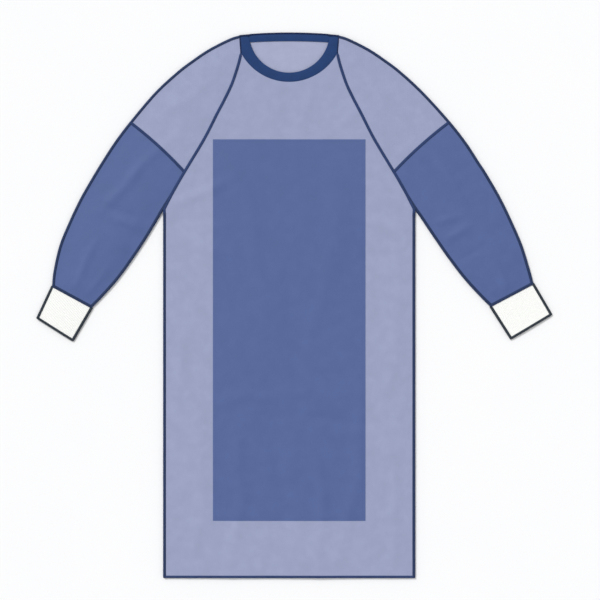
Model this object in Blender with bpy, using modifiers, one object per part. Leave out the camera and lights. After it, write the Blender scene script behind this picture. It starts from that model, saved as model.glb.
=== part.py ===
"""A surgical gown with raglan sleeves, laid flat and face up, piece by piece as its maker cuts and sews it.

Metres. +X is to the right of the gown as it is seen from above, +Y runs from the hem to the neck, and +Z is
up. The origin is on the underside, on the centre line, halfway between the hem and the back of the neck.
Left and right are the sides as they are seen from above: the left is at -X.
"""

from collections import namedtuple
import math

import bmesh
import bpy
import numpy as np

# Outline of the gown as it lies, seen from above
GOWN_LENGTH = 1.300
HEM_Y = -GOWN_LENGTH / 2
SIDE_X = 0.3005

# A section of one sleeve half: its end on the overarm, and its end on the raglan seam or, past the armpit,
# on the underarm. Each end leans a little to the right of an even layout, and so up on the right sleeve.
Section = namedtuple(
    "Section", "overarm_x overarm_y seam_x seam_y overarm_lean seam_lean", defaults=(0, 0)
)
LEAN_RISE = 0.35
NECK_SECTION = {
    "front": Section(0.118, 0.6445, 0.115, 0.603),
    "back": Section(0.118, 0.6445, 0.118, 0.626),
}
SLEEVE_SECTIONS = (
    Section(0.137, 0.639, 0.119, 0.584),
    Section(0.165, 0.626, 0.127, 0.557),
    Section(0.198, 0.608, 0.138, 0.526),
    Section(0.233, 0.584, 0.1545, 0.4915),
    Section(0.267, 0.558, 0.173, 0.456),
    Section(0.320, 0.509, 0.2035, 0.3965),
    Section(0.382, 0.4385, 0.250, 0.319, 0.0016),
    Section(0.420, 0.389, 0.274, 0.2775, 0.0022),
    Section(0.4505, 0.342, SIDE_X, 0.230, 0.0023),
    Section(0.467, 0.316, 0.315, 0.206, 0.0027, 0.0012),
    Section(0.5005, 0.258, 0.3455, 0.158, 0.0028, 0.0025),
    Section(0.5285, 0.200, 0.3775, 0.111, 0.0030, 0.0032),
    Section(0.5515, 0.145, 0.414, 0.0625, 0.0036, 0.0039),
    Section(0.5675, 0.086, 0.452, 0.0205, 0.0058, 0.0043),
    Section(0.574, 0.0505, 0.475, -0.0025, 0.0085, 0.0045),
)
COLOUR_SEAM = SLEEVE_SECTIONS[6]
ARMPIT = SLEEVE_SECTIONS[8]
SLEEVE_END = SLEEVE_SECTIONS[-1]
CUFF_END = Section(0.614, -0.0256, 0.523, -0.0814, 0.0123, 0.0064)
SLEEVE_SEAM_BOW = 0.004

# Neck: the front band hangs in a round scoop, and the back band runs across in a shallow arch
FRONT_NECK_Y = 0.534
SCOOP_HALF_WIDTH = 0.093
SCOOP_CORNER_Y = 0.627
SCOOP_BOTTOM_Y = 0.556
HORN_TIP_X = 0.098
HORN_TIP_Y = 0.646
BACK_BAND_BOTTOM_Y = 0.627
BACK_BAND_TOP_Y = 0.6445
BACK_ARCH_BOTTOM = 0.0045
BACK_ARCH_TOP = 0.0055

# The reinforcement's top is level with one of the sections, so that the front panel has a row there
REINFORCEMENT_HALF_WIDTH = 0.182
REINFORCEMENT_TOP_Y = SLEEVE_SECTIONS[5].seam_y
REINFORCEMENT_TOP_EDGE_X = SLEEVE_SECTIONS[5].seam_x
REINFORCEMENT_BOTTOM_Y = -0.514

# The back panels wrap over each other this far past the centre line, and the upper one steps up beside the
# lower one's edge
BACK_OVERLAP_X = 0.096
OVERLAP_STEP_X = (0.0975, 0.104)

# Thicknesses, and the heights of the layers over the surface that the gown lies on
CLOTH_WALL = 0.0012
REINFORCEMENT_WALL = 0.0010
BAND_WALL = 0.0015
CUFF_WALL = 0.0015
SEAM_GAP = 0.0003
LAY_HEIGHT = 0.0048
BODY_CROWN = 0.0009
SLEEVE_CROWN = 0.0010
BAND_ROUND = 0.0008
CUFF_HEIGHT = 0.0044
RIB_HEIGHT = 0.0004
RIBS = 30

# The front and back layers each roll to meet at half height: a quarter turn, then a short upright lip
LIP = 0.0005
ROLL_RADIUS = LAY_HEIGHT / 2 - SEAM_GAP / 2 - LIP
ROLL_ANGLES = np.radians((0, 30, 60, 90))
ROLL_INSETS = np.append(0, ROLL_RADIUS * (1 - np.cos(ROLL_ANGLES)))
ROLL_DROPS = np.append(ROLL_RADIUS + LIP, ROLL_RADIUS * (1 - np.sin(ROLL_ANGLES)))
FLAT_INSETS = np.linspace(0, 0.0024, len(ROLL_INSETS))
ARMPIT_ROLL = 0.75
RAGLAN_CLEARANCE = 0.0002

# Rows and columns of the pieces
SIDE_ROWS_Y = (0.215, 0.150, 0.040, -0.080, -0.200, -0.320, -0.420, REINFORCEMENT_BOTTOM_Y, -0.585, HEM_Y)
FRONT_INNER_COLUMNS = 20
FRONT_OUTER_COLUMNS = 2
BACK_COLUMNS = 4
SLEEVE_HALF_COLUMNS = 3
FRONT_BAND_ROWS = 32
BACK_BAND_COLUMNS = 8
BAND_SHARES = (0, 0.25, 0.75, 1)
CUFF_ROWS = 3
CUFF_UNDERSIDE_COLUMNS = 6
CUFF_EDGE_ANGLES = np.radians((60, 30, 0, -30, -60))

Finish = namedtuple("Finish", "colour roughness")
FINISHES = {
    "light_cloth": Finish((0.333, 0.366, 0.539), 0.82),
    "dark_cloth": Finish((0.105, 0.147, 0.337), 0.70),
    "band_cloth": Finish((0.028, 0.060, 0.174), 0.75),
    "rib_knit": Finish((0.90, 0.90, 0.88), 0.90),
}

for old in list(bpy.data.objects):
    bpy.data.objects.remove(old)
gown = bpy.data.collections.new("surgical_gown")
bpy.context.scene.collection.children.link(gown)


def make_material(name, finish):
    material = bpy.data.materials.new(name)
    material.use_nodes = True
    shader = material.node_tree.nodes["Principled BSDF"]
    shader.inputs["Base Color"].default_value = (*finish.colour, 1)
    shader.inputs["Roughness"].default_value = finish.roughness
    shader.inputs["Metallic"].default_value = 0
    return material


materials = {name: make_material(name, finish) for name, finish in FINISHES.items()}


# Making pieces from grids of points


def bent_grid(points):
    """A grid mesh whose point in each row and column is moved to points[row, column]."""
    rows, columns = (count - 1 for count in points.shape[:2])
    form = bmesh.new()
    bmesh.ops.create_grid(form, x_segments=columns, y_segments=rows, size=0.5)
    for vertex in form.verts:
        column = round((vertex.co.x + 0.5) * columns)
        row = round((vertex.co.y + 0.5) * rows)
        vertex.co = points[row, column]
    return form


def add_object(name, form, finish):
    mesh = bpy.data.meshes.new(name)
    form.to_mesh(mesh)
    form.free()
    mesh.materials.append(materials[finish])
    mesh.shade_smooth()
    mesh.set_sharp_from_angle(angle=math.radians(50))
    obj = bpy.data.objects.new(name, mesh)
    gown.objects.link(obj)
    return obj


def cloth_piece(name, points, wall, finish, faces_up=True):
    """A piece of cloth: points are its outer face, which looks up or down, and its wall lies within them."""
    form = bent_grid(points)
    form.normal_update()
    looks_up = sum(face.normal.z * face.calc_area() for face in form.faces) > 0
    if looks_up != faces_up:
        bmesh.ops.reverse_faces(form, faces=form.faces)
    obj = add_object(name, form, finish)
    thickness = obj.modifiers.new("wall", "SOLIDIFY")
    thickness.thickness = wall
    thickness.offset = -1
    thickness.use_even_offset = True
    return obj


def ring_wall(name, rings, finish):
    """A tube's wall: rings run along its outside and back along its inside, and join up both ways."""
    joined = np.concatenate([rings, rings[:1]])
    joined = np.concatenate([joined, joined[:, :1]], axis=1)
    form = bent_grid(joined)
    bmesh.ops.remove_doubles(form, verts=form.verts, dist=1e-6)
    bmesh.ops.recalc_face_normals(form, faces=form.faces)
    return add_object(name, form, finish)


# Shapes that several pieces share


def body_crown(x):
    """How far the front layer stands over its edges: a low arch from side to side."""
    return BODY_CROWN * np.clip(1 - (np.asarray(x) / SIDE_X) ** 2, 0, 1)


def toward_edge(start, edge, roll, columns):
    """Places along a line from start to an edge, and the drop at each. Roll is 0 flat, and 1 rolled."""
    insets = ROLL_INSETS if roll else FLAT_INSETS
    plain = np.linspace(start, edge - insets[-1], columns + 1)
    places = np.concatenate([plain, edge - insets[-2::-1]])
    drops = np.concatenate([np.zeros(columns), roll * ROLL_DROPS[::-1]])
    return places, drops


def smooth_sections(layer):
    """A sleeve half's sections from the neck to the cuff, with one more between each two on a curve."""
    given = np.array((NECK_SECTION[layer], *SLEEVE_SECTIONS))
    before = np.concatenate([2 * given[:1] - given[1:2], given[:-2]])
    after = np.concatenate([given[2:], 2 * given[-1:] - given[-2:-1]])
    between = (9 * (given[:-1] + given[1:]) - before - after) / 16
    pairs = zip((NECK_SECTION[layer], *SLEEVE_SECTIONS), between)
    smooth = [section for given_one, halfway in pairs for section in (given_one, Section(*halfway))]
    return smooth + [SLEEVE_END]


def body_edge(layer):
    """One side of the body, from neck to hem: x and y of the edge in each row, and how far it rolls."""
    sections = smooth_sections(layer)
    raglan = sections[:sections.index(ARMPIT)]
    rows = [(section.seam_x - RAGLAN_CLEARANCE, section.seam_y, 0) for section in raglan]
    rows.append((ARMPIT.seam_x - RAGLAN_CLEARANCE, ARMPIT.seam_y, ARMPIT_ROLL))
    return rows + [(SIDE_X, y, 1) for y in SIDE_ROWS_Y]


def arc_through(half_width, corner_y, bottom_y):
    """Radius and centre height of the round line through two corners and a lowest point between them."""
    drop = corner_y - bottom_y
    radius = (half_width**2 + drop**2) / (2 * drop)
    return radius, bottom_y + radius


def arc_points(half_width, corner_y, bottom_y, count):
    """Points along that line from its left corner to its right one."""
    radius, centre_y = arc_through(half_width, corner_y, bottom_y)
    reach = math.atan2(half_width, centre_y - corner_y)
    turns = np.linspace(-reach, reach, count)
    return np.stack([radius * np.sin(turns), centre_y - radius * np.cos(turns)], axis=1)


def even_steps(path, count):
    """Points at equal steps along a path, its ends included."""
    lengths = np.append(0, np.cumsum(np.linalg.norm(np.diff(path, axis=0), axis=1)))
    places = np.linspace(0, lengths[-1], count)
    return np.stack([np.interp(places, lengths, path[:, axis]) for axis in (0, 1)], axis=1)


# Front panel: its rows follow the neck scoop, and straighten by the top of the reinforcement


def front_panel_points():
    neck_x = NECK_SECTION["front"].seam_x
    neck_y = NECK_SECTION["front"].seam_y
    radius, centre_y = arc_through(neck_x, neck_y, FRONT_NECK_Y)
    radius += SEAM_GAP
    inner_share = REINFORCEMENT_HALF_WIDTH / REINFORCEMENT_TOP_EDGE_X
    rows = []
    for edge_x, edge_y, roll in body_edge("front"):
        limit = min(REINFORCEMENT_HALF_WIDTH, inner_share * edge_x)
        right, drops = toward_edge(limit, edge_x, roll, FRONT_OUTER_COLUMNS)
        inner = np.linspace(-limit, limit, FRONT_INNER_COLUMNS + 1)[1:-1]
        x = np.concatenate([-right[::-1], inner, right])
        drop = np.concatenate([drops[::-1], 0 * inner, drops])
        follow = max(0, edge_y - REINFORCEMENT_TOP_Y) / (neck_y - REINFORCEMENT_TOP_Y)
        scoop = np.sqrt(radius**2 - (neck_x * x / edge_x) ** 2)
        y = edge_y - follow * (scoop - (centre_y - neck_y))
        rows.append(np.stack([x, y, LAY_HEIGHT + body_crown(x) - drop], axis=1))
    return np.array(rows)


front_points = front_panel_points()
cloth_piece("front_panel", front_points, CLOTH_WALL, "light_cloth")


# Front reinforcement: the front panel's own points between its edges, moved out

on_front = np.abs(front_points[-1, :, 0]) < REINFORCEMENT_HALF_WIDTH + SEAM_GAP
row_heights = front_points[:, len(on_front) // 2, 1]
in_rows = (row_heights < REINFORCEMENT_TOP_Y + SEAM_GAP) & (row_heights > REINFORCEMENT_BOTTOM_Y - SEAM_GAP)
reinforcement_points = front_points[in_rows][:, on_front]
reinforcement_points[:, :, 2] += SEAM_GAP + REINFORCEMENT_WALL
cloth_piece("front_reinforcement", reinforcement_points, REINFORCEMENT_WALL, "dark_cloth")


# Back panels: the right one lies on the left one where they wrap


def back_arch(x, end_x):
    """How far along its shallow arch the back of the neck stands: 0 at the shoulder and 1 at the centre."""
    return 1 - (x / end_x) ** 2


def overlap_rise(x, height):
    """The height of the upper of two wrapped layers: it steps down just outside the lower one's edge."""
    return height * np.clip((OVERLAP_STEP_X[1] - x) / (OVERLAP_STEP_X[1] - OVERLAP_STEP_X[0]), 0, 1)


def back_panel_points(side, rise):
    """Rows from the wrapped edge out to the side, with the underside as the outer face."""
    wrapped = np.append(np.linspace(-BACK_OVERLAP_X, OVERLAP_STEP_X[0], BACK_COLUMNS), OVERLAP_STEP_X[1])
    neck_y = NECK_SECTION["back"].seam_y
    rows = []
    for edge_x, edge_y, roll in body_edge("back"):
        outer, rises = toward_edge(wrapped[-1], edge_x, roll, BACK_COLUMNS)
        x = np.concatenate([wrapped[:-1], outer])
        z = np.concatenate([0 * wrapped[:-1], rises]) + overlap_rise(x, rise)
        y = np.full(len(x), edge_y)
        if edge_y == neck_y:
            y = BACK_BAND_BOTTOM_Y - SEAM_GAP + BACK_ARCH_BOTTOM * back_arch(x, edge_x)
        rows.append(np.stack([side * x, y, z], axis=1))
    return np.array(rows)


cloth_piece("back_panel_left", back_panel_points(-1, 0), CLOTH_WALL, "light_cloth", faces_up=False)
cloth_piece(
    "back_panel_right", back_panel_points(1, CLOTH_WALL + SEAM_GAP), CLOTH_WALL, "light_cloth", faces_up=False
)


# Neck band: a crescent in front, and a strip on each back panel


def front_band_points():
    """Rows from the left shoulder round the scoop to the right one, each from its outer to its inner edge."""
    corner = NECK_SECTION["front"]
    outer_x = corner.seam_x - RAGLAN_CLEARANCE
    tip = np.array([[corner.overarm_x - RAGLAN_CLEARANCE, corner.overarm_y]])
    horn = np.array([[HORN_TIP_X, HORN_TIP_Y]])
    mirror = np.array([-1, 1])
    outer = np.concatenate([tip * mirror, arc_points(outer_x, corner.seam_y, FRONT_NECK_Y, 60), tip])
    inner_arc = arc_points(SCOOP_HALF_WIDTH, SCOOP_CORNER_Y, SCOOP_BOTTOM_Y, 60)
    inner = np.concatenate([horn * mirror, inner_arc, horn])
    outer = even_steps(outer, FRONT_BAND_ROWS + 1)
    inner = even_steps(inner, FRONT_BAND_ROWS + 1)
    columns = []
    for share in BAND_SHARES:
        place = outer + share * (inner - outer)
        height = LAY_HEIGHT + body_crown(place[:, 0]) + BAND_ROUND * math.sin(math.pi * share)
        columns.append(np.column_stack([place, height]))
    return np.stack(columns, axis=1)


def back_band_points(side, rise):
    """Rows from the wrapped end to the shoulder, each from the lower edge to the upper one."""
    end_x = NECK_SECTION["back"].overarm_x - RAGLAN_CLEARANCE
    wrapped = np.linspace(-BACK_OVERLAP_X, OVERLAP_STEP_X[0], BACK_BAND_COLUMNS)
    x = np.concatenate([wrapped, [OVERLAP_STEP_X[1], (OVERLAP_STEP_X[1] + end_x) / 2, end_x]])
    arch = back_arch(x, end_x)
    lower = BACK_BAND_BOTTOM_Y + BACK_ARCH_BOTTOM * arch
    upper = BACK_BAND_TOP_Y + BACK_ARCH_TOP * arch
    columns = [np.stack([side * x, lower + share * (upper - lower), overlap_rise(x, rise)], axis=1)
               for share in BAND_SHARES]
    return np.stack(columns, axis=1)


cloth_piece("neck_band_front", front_band_points(), BAND_WALL, "band_cloth")
cloth_piece("neck_band_back_left", back_band_points(-1, 0), BAND_WALL, "band_cloth", faces_up=False)
cloth_piece(
    "neck_band_back_right", back_band_points(1, BAND_WALL + SEAM_GAP), BAND_WALL, "band_cloth", faces_up=False
)


# Sleeves: each stretch has a front half and a back half, which meet along the overarm and the underarm


def section_ends(section, side):
    """The two ends of a section, in plan: seam or underarm, then overarm."""
    lean = np.array([1, side * LEAN_RISE])
    seam = np.array([side * section.seam_x, section.seam_y]) + section.seam_lean * lean
    overarm = np.array([side * section.overarm_x, section.overarm_y]) + section.overarm_lean * lean
    return seam, overarm


def seam_roll(section):
    """How far the lower edge of a sleeve half rolls: flat on the raglan seam, and rolled past the armpit."""
    if section == ARMPIT:
        return ARMPIT_ROLL
    return 1 if section.seam_x > ARMPIT.seam_x else 0


def sleeve_half_points(sections, side, layer, shift):
    """Rows of sections, each from the seam to the overarm. The colour seam bows towards the shoulder."""
    rows = []
    for section in sections:
        seam, overarm = section_ends(section, side)
        seam[0] += side * RAGLAN_CLEARANCE
        if section == NECK_SECTION[layer]:
            overarm[0] += side * RAGLAN_CLEARANCE
        length = np.linalg.norm(overarm - seam)
        along = (overarm - seam) / length
        outer, outer_drops = toward_edge(length / 2, length, 1, SLEEVE_HALF_COLUMNS)
        inner, inner_drops = toward_edge(length / 2, length, seam_roll(section), SLEEVE_HALF_COLUMNS)
        distance = np.concatenate([length - inner[:0:-1], outer])
        drop = np.concatenate([inner_drops[:0:-1], outer_drops])
        share = distance / length
        place = seam + distance[:, None] * along
        if section == COLOUR_SEAM:
            to_shoulder = side * np.array([-along[1], along[0]])
            place += (shift + SLEEVE_SEAM_BOW * 4 * share * (1 - share))[:, None] * to_shoulder
        if layer == "front":
            crown = body_crown(section.seam_x) * (1 - share) + SLEEVE_CROWN * np.sin(math.pi * share)
            height = LAY_HEIGHT + crown - drop
        else:
            height = drop
        rows.append(np.column_stack([place, height]))
    return np.array(rows)


def make_sleeve(side_name, side):
    for layer in ("front", "back"):
        up = layer == "front"
        sections = smooth_sections(layer)
        seam_row = sections.index(COLOUR_SEAM)
        cloth_piece(
            f"upper_sleeve_{layer}_{side_name}",
            sleeve_half_points(sections[:seam_row + 1], side, layer, SEAM_GAP / 2),
            CLOTH_WALL, "light_cloth", faces_up=up,
        )
        cloth_piece(
            f"lower_sleeve_{layer}_{side_name}",
            sleeve_half_points(sections[seam_row:], side, layer, -SEAM_GAP / 2),
            CLOTH_WALL, "dark_cloth", faces_up=up,
        )


# Cuffs: flattened knitted tubes, ribbed on top and plain inside and where they rest


def flat_ring(width, inset, ribs):
    """One flattened ring, across the top from the underarm and back underneath: place across, and height."""
    radius = CUFF_HEIGHT / 2 - inset
    near = CUFF_HEIGHT / 2
    far = width - near
    top = np.linspace(near, far, 2 * RIBS + 1)
    top_z = CUFF_HEIGHT - inset + SLEEVE_CROWN * np.sin(math.pi * (top - near) / (far - near))
    top_z += ribs * (np.arange(2 * RIBS + 1) % 2)
    under = np.linspace(far, near, CUFF_UNDERSIDE_COLUMNS + 1)
    edge_x = radius * np.cos(CUFF_EDGE_ANGLES)
    edge_z = near + radius * np.sin(CUFF_EDGE_ANGLES)
    across = np.concatenate([top, far + edge_x, under, near - edge_x])
    height = np.concatenate([top_z, edge_z, 0 * under + inset, edge_z[::-1]])
    return across, height


def cuff_rings(side):
    start_seam, start_over = section_ends(SLEEVE_END, side)
    end_seam, end_over = section_ends(CUFF_END, side)
    first = SEAM_GAP / np.linalg.norm(end_seam - start_seam)
    shares = np.linspace(first, 1, CUFF_ROWS + 1)
    rings = []
    for share, inset in [(share, 0) for share in shares] + [(share, CUFF_WALL) for share in shares[::-1]]:
        seam = start_seam + share * (end_seam - start_seam)
        overarm = start_over + share * (end_over - start_over)
        width = np.linalg.norm(overarm - seam)
        across, height = flat_ring(width, inset, 0 if inset else RIB_HEIGHT)
        place = seam + (across / width)[:, None] * (overarm - seam)
        rings.append(np.column_stack([place, height]))
    return np.array(rings)


for side_name, side in (("left", -1), ("right", 1)):
    make_sleeve(side_name, side)
    ring_wall(f"cuff_{side_name}", cuff_rings(side), "rib_knit")
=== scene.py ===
import math
from collections import namedtuple

import bmesh
import bpy
import numpy as np
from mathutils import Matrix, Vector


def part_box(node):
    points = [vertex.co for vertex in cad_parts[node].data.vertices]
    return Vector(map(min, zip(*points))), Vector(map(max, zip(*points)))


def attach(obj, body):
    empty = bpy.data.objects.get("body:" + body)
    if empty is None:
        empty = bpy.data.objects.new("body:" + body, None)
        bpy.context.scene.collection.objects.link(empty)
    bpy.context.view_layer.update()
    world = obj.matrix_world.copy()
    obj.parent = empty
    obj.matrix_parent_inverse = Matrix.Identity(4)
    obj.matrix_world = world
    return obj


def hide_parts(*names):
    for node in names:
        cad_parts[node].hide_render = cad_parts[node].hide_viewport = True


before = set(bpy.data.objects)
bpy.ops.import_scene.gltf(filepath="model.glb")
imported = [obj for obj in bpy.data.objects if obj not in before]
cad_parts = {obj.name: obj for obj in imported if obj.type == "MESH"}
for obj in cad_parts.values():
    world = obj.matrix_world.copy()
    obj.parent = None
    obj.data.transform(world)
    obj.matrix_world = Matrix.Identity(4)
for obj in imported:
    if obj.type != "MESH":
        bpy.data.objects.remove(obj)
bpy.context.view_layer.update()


# The gown lies face up on a pale table in a soft, even light, and the camera hangs straight above it, as in
# the drawing: 600 pixels cover 1.434 m, and the gown's own origin shows a little left of and below the
# middle.

PIXEL = 0.00239
FRAME_PIXELS = 600
ORIGIN_PIXEL = (289.2, 305.5)
LENS = 120
SENSOR = 36
TABLE_TOP = -0.0005
SKY_SHARE = 0.66
SUN_SHARE = 0.415
SUN_HEIGHT = math.radians(48)
SUN_BEARING = math.radians(128)
SUN_SPREAD = math.radians(16)

camera = bpy.data.objects.new("camera", bpy.data.cameras.new("camera"))
camera.data.lens = LENS
camera.data.sensor_width = SENSOR
camera.data.clip_end = 50
camera.location = (
    (FRAME_PIXELS / 2 - ORIGIN_PIXEL[0]) * PIXEL,
    (ORIGIN_PIXEL[1] - FRAME_PIXELS / 2) * PIXEL,
    FRAME_PIXELS * PIXEL * LENS / SENSOR,
)
bpy.context.scene.collection.objects.link(camera)
bpy.context.scene.camera = camera
bpy.context.scene.view_settings.view_transform = "Standard"

sky = bpy.data.worlds.new("studio")
sky.use_nodes = True
sky.node_tree.nodes["Background"].inputs["Color"].default_value = (1, 1, 1, 1)
sky.node_tree.nodes["Background"].inputs["Strength"].default_value = SKY_SHARE
bpy.context.scene.world = sky

sun = bpy.data.objects.new("sun", bpy.data.lights.new("sun", "SUN"))
sun.data.energy = math.pi * SUN_SHARE / math.sin(SUN_HEIGHT)
sun.data.angle = SUN_SPREAD
sun.rotation_euler = (math.pi / 2 - SUN_HEIGHT, 0, SUN_BEARING + math.pi / 2)
bpy.context.scene.collection.objects.link(sun)


class Shade:
    """One output of a material's nodes. Its sums, products and the like are Math nodes of that material."""

    def __init__(self, tree, socket):
        self.tree = tree
        self.socket = socket

    def make(self, kind, settings, sockets, out=0):
        """Add a node: first its settings, then the values or links of its sockets. Gives one output."""
        node = self.tree.nodes.new(kind)
        for name, value in settings.items():
            setattr(node, name, value)
        for key, value in sockets.items():
            if isinstance(value, Shade):
                self.tree.links.new(value.socket, node.inputs[key])
            else:
                node.inputs[key].default_value = value
        return Shade(self.tree, node.outputs[out])

    def math(self, operation, *others, first=None):
        """A Math node on this value and the others."""
        terms = (self if first is None else first, *others)
        return self.make("ShaderNodeMath", {"operation": operation}, dict(enumerate(terms)))

    def __add__(self, other):
        return self.math("ADD", other)

    def __sub__(self, other):
        return self.math("SUBTRACT", other)

    def __rsub__(self, other):
        return self.math("SUBTRACT", self, first=other)

    def __mul__(self, other):
        return self.math("MULTIPLY", other)

    def __truediv__(self, other):
        return self.math("DIVIDE", other)

    __radd__ = __add__
    __rmul__ = __mul__

    def step(self, low, high):
        """0 below low, 1 above high, and a smooth rise between them."""
        settings = {"interpolation_type": "SMOOTHSTEP"}
        return self.make("ShaderNodeMapRange", settings, {0: self, 1: low, 2: high, 3: 0.0, 4: 1.0})

    def noise(self, scale, detail=2.0, roughness=0.5):
        """Cloudy noise over this vector, from 0 to 1."""
        sockets = {"Vector": self, "Scale": scale, "Detail": detail, "Roughness": roughness}
        return self.make("ShaderNodeTexNoise", {}, sockets)

    def split(self):
        """The x, y and z of this vector."""
        parts = self.make("ShaderNodeSeparateXYZ", {}, {0: self})
        return [Shade(self.tree, parts.socket.node.outputs[axis]) for axis in range(3)]

    def blend(self, low, high):
        """A colour between two, with this value as the share of the second."""
        sockets = {0: self, 6: (*low, 1), 7: (*high, 1)}
        return self.make("ShaderNodeMix", {"data_type": "RGBA"}, sockets, out=2)

    def bump(self, distance, strength=1.0):
        """The normal of a surface whose relief is this height, from 0 to 1 times the distance."""
        return self.make("ShaderNodeBump", {}, {"Height": self, "Distance": distance, "Strength": strength})


def tint(red, green, blue):
    """A screen colour from 0 to 255 as the linear colour that a material takes."""
    shares = np.array((red, green, blue)) / 255
    linear = np.where(shares < 0.04045, shares / 12.92, ((shares + 0.055) / 1.055) ** 2.4)
    return tuple(float(channel) for channel in linear)


def scaled(colour, factor):
    """A colour with each channel times the factor: darker below 1, lighter above it."""
    return tuple(factor * channel for channel in colour)


def new_material(name, roughness, sheen=0.0, gloss=0.5):
    """A fresh material, and the point of the surface in metres, which its patterns follow."""
    material = bpy.data.materials.new(name)
    material.use_nodes = True
    shader = material.node_tree.nodes["Principled BSDF"]
    shader.inputs["Roughness"].default_value = roughness
    shader.inputs["Sheen Weight"].default_value = sheen
    shader.inputs["Sheen Roughness"].default_value = 0.4
    shader.inputs["Specular IOR Level"].default_value = gloss
    place = material.node_tree.nodes.new("ShaderNodeTexCoord")
    return material, Shade(material.node_tree, place.outputs["Object"])


def finish_material(material, colour=None, roughness=None, normal=None):
    """Feed the shader with what changes over the surface."""
    shader = material.node_tree.nodes["Principled BSDF"]
    for name, value in (("Base Color", colour), ("Roughness", roughness), ("Normal", normal)):
        if value is not None:
            material.node_tree.links.new(value.socket, shader.inputs[name])
    return material


SAME_POINT = 1e-6


def grid_mesh(name, grids, materials, round_across=False):
    """A mesh through one or more grids, points[row, column], with a face between each four neighbours.

    Where it is round across, the last column joins the first, and a row whose points are all one is closed.
    """
    corners, faces, count = [], [], 0
    for points in grids:
        rows, columns = points.shape[:2]
        number = count + np.arange(rows * columns).reshape(rows, columns)
        if round_across:
            number = np.concatenate([number, number[:, :1]], axis=1)
        sides = (number[:-1, :-1], number[:-1, 1:], number[1:, 1:], number[1:, :-1])
        faces.append(np.stack([side.ravel() for side in sides], axis=1))
        corners.append(points.reshape(-1, 3))
        count += rows * columns
    mesh = bpy.data.meshes.new(name)
    mesh.from_pydata(np.concatenate(corners).tolist(), [], np.concatenate(faces).tolist())
    if round_across:
        form = bmesh.new()
        form.from_mesh(mesh)
        bmesh.ops.remove_doubles(form, verts=form.verts, dist=SAME_POINT)
        bmesh.ops.recalc_face_normals(form, faces=form.faces)
        form.to_mesh(mesh)
        form.free()
    mesh.shade_smooth()
    for material in materials:
        mesh.materials.append(material)
    piece = bpy.data.objects.new(name, mesh)
    bpy.context.scene.collection.objects.link(piece)
    return piece


TABLE_REACH = 15.0

reach = np.linspace(-TABLE_REACH, TABLE_REACH, 3)
table_points = np.stack([*np.meshgrid(reach, reach), np.full((3, 3), TABLE_TOP)], axis=2)
table_paint, place = new_material("table_paint", 0.9)
finish_material(table_paint, place.noise(3.0, 3.0).blend(tint(243, 244, 245), tint(246, 246, 247)))
grid_mesh("table", [table_points], [table_paint])


# Back panels: two pieces of the same light nonwoven cloth as the front. They lie flat on the table, roll up
# to the front along the sides, and wrap over each other at the centre back, the right one on the left one.
# Their insides, one of which shows in the neck, are paler than their outsides.

Section = namedtuple("Section", "overarm_x overarm_y seam_x seam_y overarm_lean seam_lean", defaults=(0, 0))
FRONT_NECK = Section(0.118, 0.6445, 0.115, 0.603)
BACK_NECK = Section(0.118, 0.6445, 0.118, 0.626)
SECTIONS = (
    Section(0.137, 0.639, 0.119, 0.584),
    Section(0.165, 0.626, 0.127, 0.557),
    Section(0.198, 0.608, 0.138, 0.526),
    Section(0.233, 0.584, 0.1545, 0.4915),
    Section(0.267, 0.558, 0.173, 0.456),
    Section(0.320, 0.509, 0.2035, 0.3965),
    Section(0.382, 0.4385, 0.250, 0.319, 0.0016),
    Section(0.420, 0.389, 0.274, 0.2775, 0.0022),
    Section(0.4505, 0.342, 0.3005, 0.230, 0.0023),
    Section(0.467, 0.316, 0.315, 0.206, 0.0027, 0.0012),
    Section(0.5005, 0.258, 0.3455, 0.158, 0.0028, 0.0025),
    Section(0.5285, 0.200, 0.3775, 0.111, 0.0030, 0.0032),
    Section(0.5515, 0.145, 0.414, 0.0625, 0.0036, 0.0039),
    Section(0.5675, 0.086, 0.452, 0.0205, 0.0058, 0.0043),
    Section(0.574, 0.0505, 0.475, -0.0025, 0.0085, 0.0045),
)
COLOUR_SEAM, ARMPIT, SLEEVE_END = 7, 9, 15
SIDE_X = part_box("front_panel")[1][0]
HEM_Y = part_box("front_panel")[0][1]
SHELL = 0.0005
UNDERSIDE = 0.0002
OVERLAP_X = -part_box("back_panel_right")[0][0]
OVERLAP_STEP = (0.0975, 0.104)
OVERLAP_RISE = 0.0012
BACK_GRID = (60, 110, 44)
BACK_BAND_BOTTOM_Y = 0.627
BACK_ARCH = 0.0045
BACK_ARCH_REACH = 0.03
CLOTH_PAINT = tint(149, 156, 188)
INSIDE_PAINT = tint(160, 166, 194)
EMBOSS_ACROSS = 0.0026
EMBOSS_ALONG = 0.0038


def flow(knots, places):
    """Points on a smooth curve through knots, a cubic from each to the next. Place 2.5 is between 2 and 3."""
    knots = np.asarray(knots, float)
    padded = np.concatenate([2 * knots[:1] - knots[1:2], knots, 2 * knots[-1:] - knots[-2:-1]])
    start = np.clip(np.floor(places).astype(int), 0, len(knots) - 2)
    t = (places - start)[:, None]
    a, b, c, d = (padded[start + offset] for offset in range(4))
    return b + 0.5 * t * (c - a + t * (2 * a - 5 * b + 4 * c - d + t * (3 * (b - c) + d - a)))


def smooth(value):
    """A smooth rise from 0 to 1 as the value goes from 0 to 1."""
    value = np.clip(value, 0, 1)
    return value * value * (3 - 2 * value)


ROLL_STEPS = 7
ROLL_RADIUS = 0.0019
LIP = 0.0003
FLAT_MARGIN = 0.005
SETTLE = 0.022
ROLL_SPAN = 1.5
SECTION_PITCH = 0.03


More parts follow.
